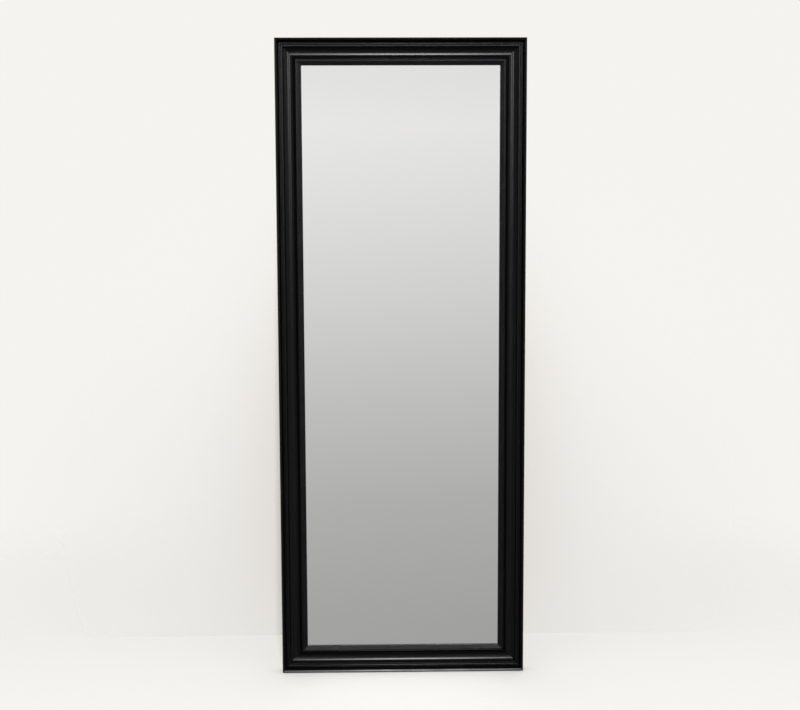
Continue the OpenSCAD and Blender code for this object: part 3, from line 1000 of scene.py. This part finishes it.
class MIRROR_OT_frame_members(bpy.types.Operator):
    """Makes the two rails and two stiles from the moulding's section"""

    bl_idname = "mirror.frame_members"
    bl_label = "Frame members"

    def execute(self, context):
        sizes = context.scene.mirror_sizes
        outline, normals, arris = rounded_outline(*sharp_section(sizes))
        lacquer = lacquer_material(context.scene.mirror_finishes)
        cutter = bpy.data.objects.new("nail_slots", nail_slots())
        context.scene.collection.objects.link(cutter)
        for name in SIDES:
            mesh = moulding_member(name, outline, normals, arris, sizes)
            piece = bpy.data.objects.new("moulded_" + name, mesh)
            context.scene.collection.objects.link(piece)
            cut_slots(piece, cutter)
            shade_member(piece.data)
            bare, thin = coat_shares(piece.data, name)
            float_attribute(piece.data, "bare", bare)
            float_attribute(piece.data, "thin_coat", thin)
            piece.data.materials.clear()
            piece.data.materials.append(lacquer)
            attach(piece, MAIN_BODY)
            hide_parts(name)
        bpy.data.objects.remove(cutter)
        return {"FINISHED"}


class MIRROR_OT_corner_nails(bpy.types.Operator):
    """Finishes the V-nails in the mitres"""

    bl_idname = "mirror.corner_nails"
    bl_label = "Corner nails"

    def execute(self, context):
        finishes = context.scene.mirror_finishes
        nail = steel_material("nail_steel", finishes.steel, roughness=0.3, stretch=1.0)
        finish_node("corner_v_nails", nail)
        return {"FINISHED"}


class MIRROR_OT_glazing(bpy.types.Operator):
    """Finishes the mirror, its film, board, blocks, spacers and flexible points"""

    bl_idname = "mirror.glazing"
    bl_label = "Glazing"

    def execute(self, context):
        finishes = context.scene.mirror_finishes
        points = steel_material("spring_steel", finishes.steel, roughness=0.26, stretch=0.03)
        finish_node("mirror_pane", mirror_material(finishes))
        finish_node("safety_film", film_material(finishes))
        finish_node("backing_board", board_material(finishes))
        finish_node("setting_blocks", rubber_material("block_rubber", finishes.rubber, roughness=0.7))
        finish_node("edge_spacers", cork_material(finishes))
        finish_node("framer_points", points)
        return {"FINISHED"}


class MIRROR_OT_hangers(bpy.types.Operator):
    """Finishes the hanger straps, their rings and screws"""

    bl_idname = "mirror.hangers"
    bl_label = "Hangers"

    def execute(self, context):
        zinc = context.scene.mirror_finishes.zinc
        strap = steel_material("plated_strap", zinc, roughness=0.34, stretch=0.03)
        ring = steel_material("plated_wire", zinc, roughness=0.24, stretch=1.0)
        screw = steel_material("screw_steel", tone(zinc, 0.92), roughness=0.3, stretch=1.0)
        for hand in ("left", "right"):
            finish_node(hand + "_hanger_strap", strap)
            finish_node(hand + "_hanger_ring", ring)
            finish_node(hand + "_hanger_screws", screw)
        return {"FINISHED"}


class MIRROR_OT_rests(bpy.types.Operator):
    """Finishes the wall bumpers and the foot pads"""

    bl_idname = "mirror.rests"
    bl_label = "Bumpers and foot pads"

    def execute(self, context):
        rubber = context.scene.mirror_finishes.rubber
        bumper = rubber_material("bumper_rubber", rubber, roughness=0.6)
        pad = rubber_material("pad_rubber", rubber, roughness=0.78)
        for hand in ("left", "right"):
            for level in ("upper", "lower"):
                finish_node(f"{level}_{hand}_bumper", bumper)
            finish_node(hand + "_foot_pad", pad)
        return {"FINISHED"}


class MIRROR_OT_studio(bpy.types.Operator):
    """Sets up the floor, the backdrop, the light and the camera"""

    bl_idname = "mirror.studio"
    bl_label = "Studio"

    def execute(self, context):
        studio = context.scene.mirror_studio
        context.scene.view_settings.view_transform = "Standard"
        floor = backdrop_material("pale_floor", studio.backdrop, FLOOR_REACH, FLOOR_DROP, (0, 0, 0))
        plane_patch("floor", FLOOR_HALF, (-FLOOR_HALF, 0), (FLOOR_HALF, 0), floor)
        wall = backdrop_material("pale_wall", studio.backdrop, WALL_REACH, TOP_Z * WALL_DROP, WALL_CENTRE)
        plane_patch("wall", WALL_HALF, (BACK_Y + WALL_FOOT, 0), (BACK_Y + WALL_HEAD, TOP_Z), wall)
        studio_world(studio)
        add_softbox("front_softbox", SOFTBOX_PLACE, SOFTBOX_TARGET, SOFTBOX_SIZE, studio.softbox_power)
        add_camera()
        return {"FINISHED"}


class MIRROR_PT_panel(bpy.types.Panel):
    """Lists the steps that build the mirror, and its settings."""

    bl_idname = "MIRROR_PT_panel"
    bl_label = "Full-length mirror"
    bl_space_type = "VIEW_3D"
    bl_region_type = "UI"
    bl_category = "Mirror"

    def draw(self, context):
        for step in STEPS:
            self.layout.operator(step.bl_idname)
        for group in GROUPS:
            holder = getattr(context.scene, group)
            for name in holder.bl_rna.properties.keys():
                if name not in ("rna_type", "name"):
                    self.layout.prop(holder, name)


GROUPS = {"mirror_sizes": MirrorSizes, "mirror_finishes": MirrorFinishes, "mirror_studio": MirrorStudio}
STEPS = [
    MIRROR_OT_frame_members,
    MIRROR_OT_corner_nails,
    MIRROR_OT_glazing,
    MIRROR_OT_hangers,
    MIRROR_OT_rests,
    MIRROR_OT_studio,
]


def register():
    """Registers the classes and gives the scene their settings."""
    for kind in [*GROUPS.values(), *STEPS, MIRROR_PT_panel]:
        bpy.utils.register_class(kind)
    for name, kind in GROUPS.items():
        setattr(bpy.types.Scene, name, bpy.props.PointerProperty(type=kind))


def unregister():
    """Takes the settings from the scene and unregisters the classes."""
    for name in GROUPS:
        delattr(bpy.types.Scene, name)
    for kind in reversed([*GROUPS.values(), *STEPS, MIRROR_PT_panel]):
        bpy.utils.unregister_class(kind)


def main():
    """Builds everything by the operators."""
    register()
    for step in STEPS:
        module, action = step.bl_idname.split(".")
        getattr(getattr(bpy.ops, module), action)()


if __name__ == "__main__":
    main()
